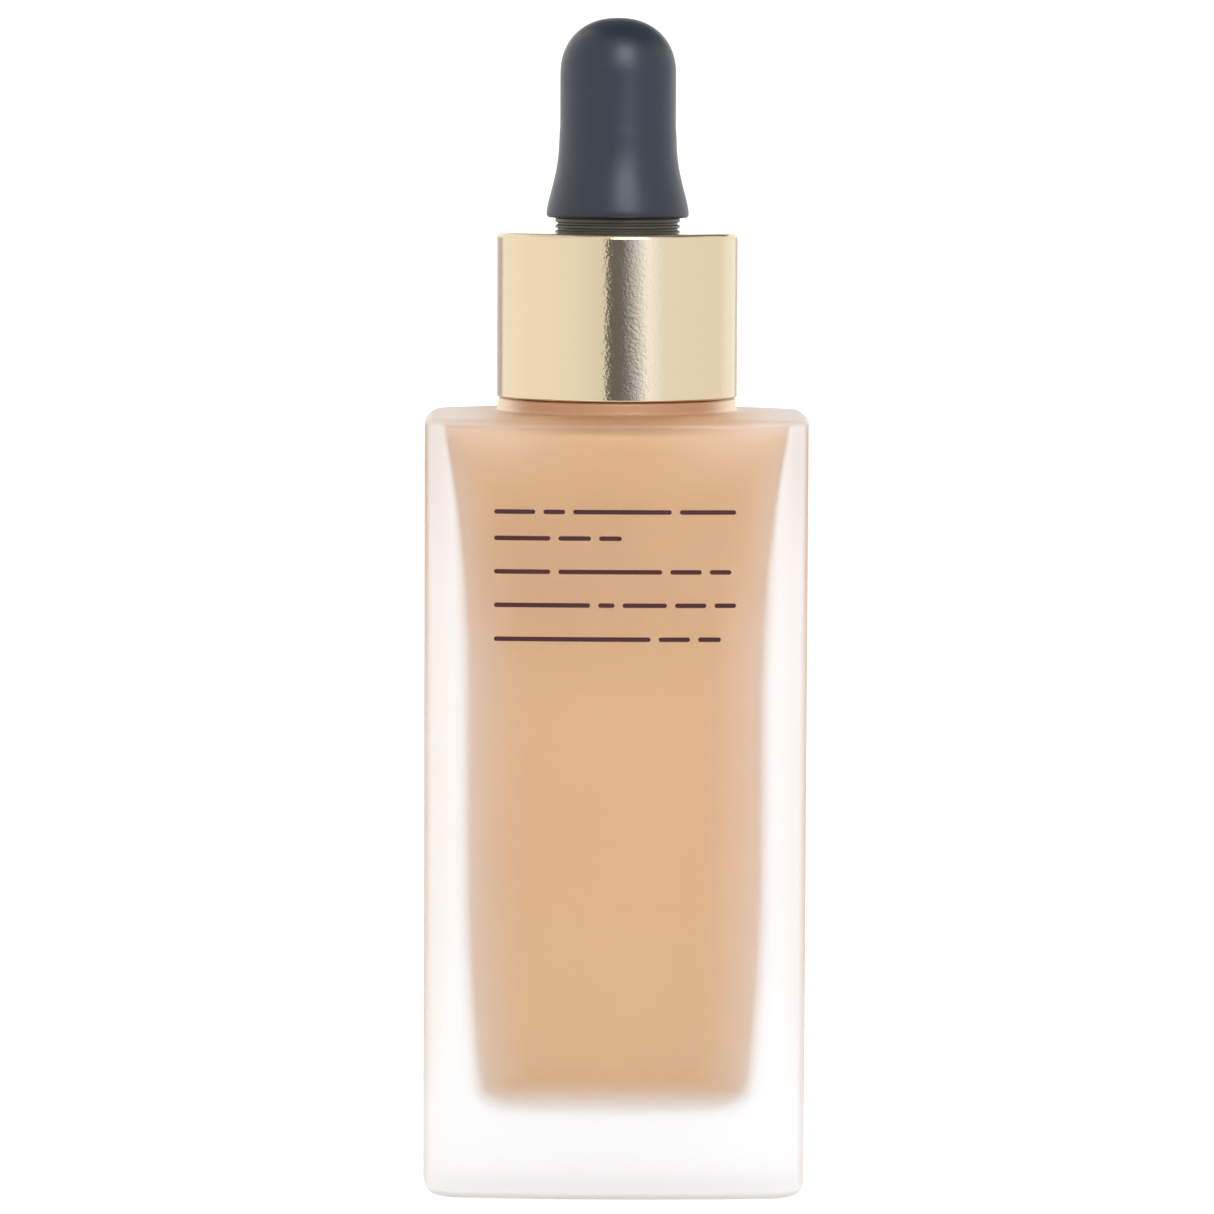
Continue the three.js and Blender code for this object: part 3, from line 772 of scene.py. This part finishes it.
def canopy():
    """A dark arched sheet over and behind the bottle, which only reflections see."""
    vertices = []
    for a in np.radians(np.linspace(75, 155, 17)):
        vertices += [(x, -CANOPY_RADIUS * math.cos(a), CANOPY_CENTRE + CANOPY_RADIUS * math.sin(a))
                     for x in (CANOPY_LEFT, CANOPY_RIGHT)]
    faces = [(i, i + 1, i + 3, i + 2) for i in range(0, len(vertices) - 2, 2)]
    dark = Shader("canopy", Base_Color=(0, 0, 0, 1), Specular_IOR_Level=0.0,
                  Emission_Color=(1, 1, 1, 1), Emission_Strength=0.3)
    add_light_sheet("canopy", vertices, faces, dark.material, lights=False)


def cyclorama():
    """A pale floor that curves up into a backdrop."""
    profile = [(FLOOR_FRONT, 0.0), (BEND_START, 0.0)]
    profile += [(BEND_START + BEND_RADIUS * math.sin(a), BEND_RADIUS * (1 - math.cos(a)))
                for a in np.linspace(0, math.pi / 2, 13)[1:]]
    profile.append((BEND_START + BEND_RADIUS, BACKDROP_TOP))
    vertices = [(x, y, z) for y, z in profile for x in (-HALF_WIDTH, HALF_WIDTH)]
    faces = [(2 * i, 2 * i + 1, 2 * i + 3, 2 * i + 2) for i in range(len(profile) - 1)]
    s = Shader("backdrop", Base_Color=(0.82, 0.82, 0.82, 1), Roughness=0.9,
               Emission_Color=(1, 1, 1, 1), Emission_Strength=0.33)
    s.bump(s.noise(40, 2), 0.05, 0.0005)
    piece = add_mesh("cyclorama", vertices, faces, s.material)
    piece.data.polygons.foreach_set("use_smooth", [True] * len(faces))


def area_light(name, position, target, size, power):
    data = bpy.data.lights.new(name, "AREA")
    data.shape = "RECTANGLE"
    data.size, data.size_y = size
    data.energy = power
    light = bpy.data.objects.new(name, data)
    light.location = position
    light.rotation_euler = (Vector(target) - Vector(position)).to_track_quat("-Z", "Y").to_euler()
    bpy.context.scene.collection.objects.link(light)


def stage():
    world = bpy.data.worlds.new("studio")
    world.use_nodes = True
    world.node_tree.nodes["Background"].inputs["Color"].default_value = (1, 1, 1, 1)
    world.node_tree.nodes["Background"].inputs["Strength"].default_value = 1.0
    bpy.context.scene.world = world
    cyclorama()
    card("left_side", -120, -45, (1.27, 1.18), (1.0, 0.99, 0.97))
    card("left_shade", -45, -10, (1.18, 1.03))
    card("camera_gap", -10, 6, (0.21, 0.21), (0.9, 0.98, 1.1))
    card("key_fade", 6, 27, (0.25, 1.45), (0.95, 1.04, 1.28), slant=7.0)
    card("key_hold", 27, 45, (1.45, 1.1), (0.97, 1.02, 1.15))
    card("right_side", 45, 120, (1.15, 1.1))
    card("flag_left", -166, -142, (0.8, 0.6), (1, 0.9, 0.85), high=FLAG_TOP, distance=FLAG_DISTANCE)
    card("flag_right", 154, 164, (0.7, 0.7), (1, 0.95, 0.9), high=FLAG_TOP, distance=FLAG_DISTANCE)
    card("glow", -5, 31, (3.6, 5.2), low=GLOW_BOTTOM, high=GLOW_TOP, lights=False)
    canopy()
    area_light("top_box", (0.17, -0.5, 0.6), (0, 0, 0.1), (0.2, 0.2), 0.8)
    area_light("key_box", (0.17, -0.56, 0.4), (0, 0, 0.09), (0.14, 0.26), 0.9)
    bpy.context.scene.view_settings.view_transform = "Standard"


CAMERA_DISTANCE = 0.6
CAMERA_HEIGHT = 0.10505
CAMERA_PITCH = 4.82
CAMERA_ROLL = 0.253
CAMERA_SIDE = -0.00084
LENS, SENSOR = 189.0, 36.0


def camera():
    data = bpy.data.cameras.new("camera")
    data.lens, data.sensor_width = LENS, SENSOR
    data.clip_start = 0.01
    view = bpy.data.objects.new("camera", data)
    turn = Matrix.Rotation(math.radians(90 - CAMERA_PITCH), 4, "X")
    roll = Matrix.Rotation(math.radians(CAMERA_ROLL), 4, "Z")
    view.matrix_world = (Matrix.Translation((CAMERA_SIDE, -CAMERA_DISTANCE, CAMERA_HEIGHT))
                         @ turn @ roll)
    bpy.context.scene.collection.objects.link(view)
    bpy.context.scene.camera = view


stage()
camera()
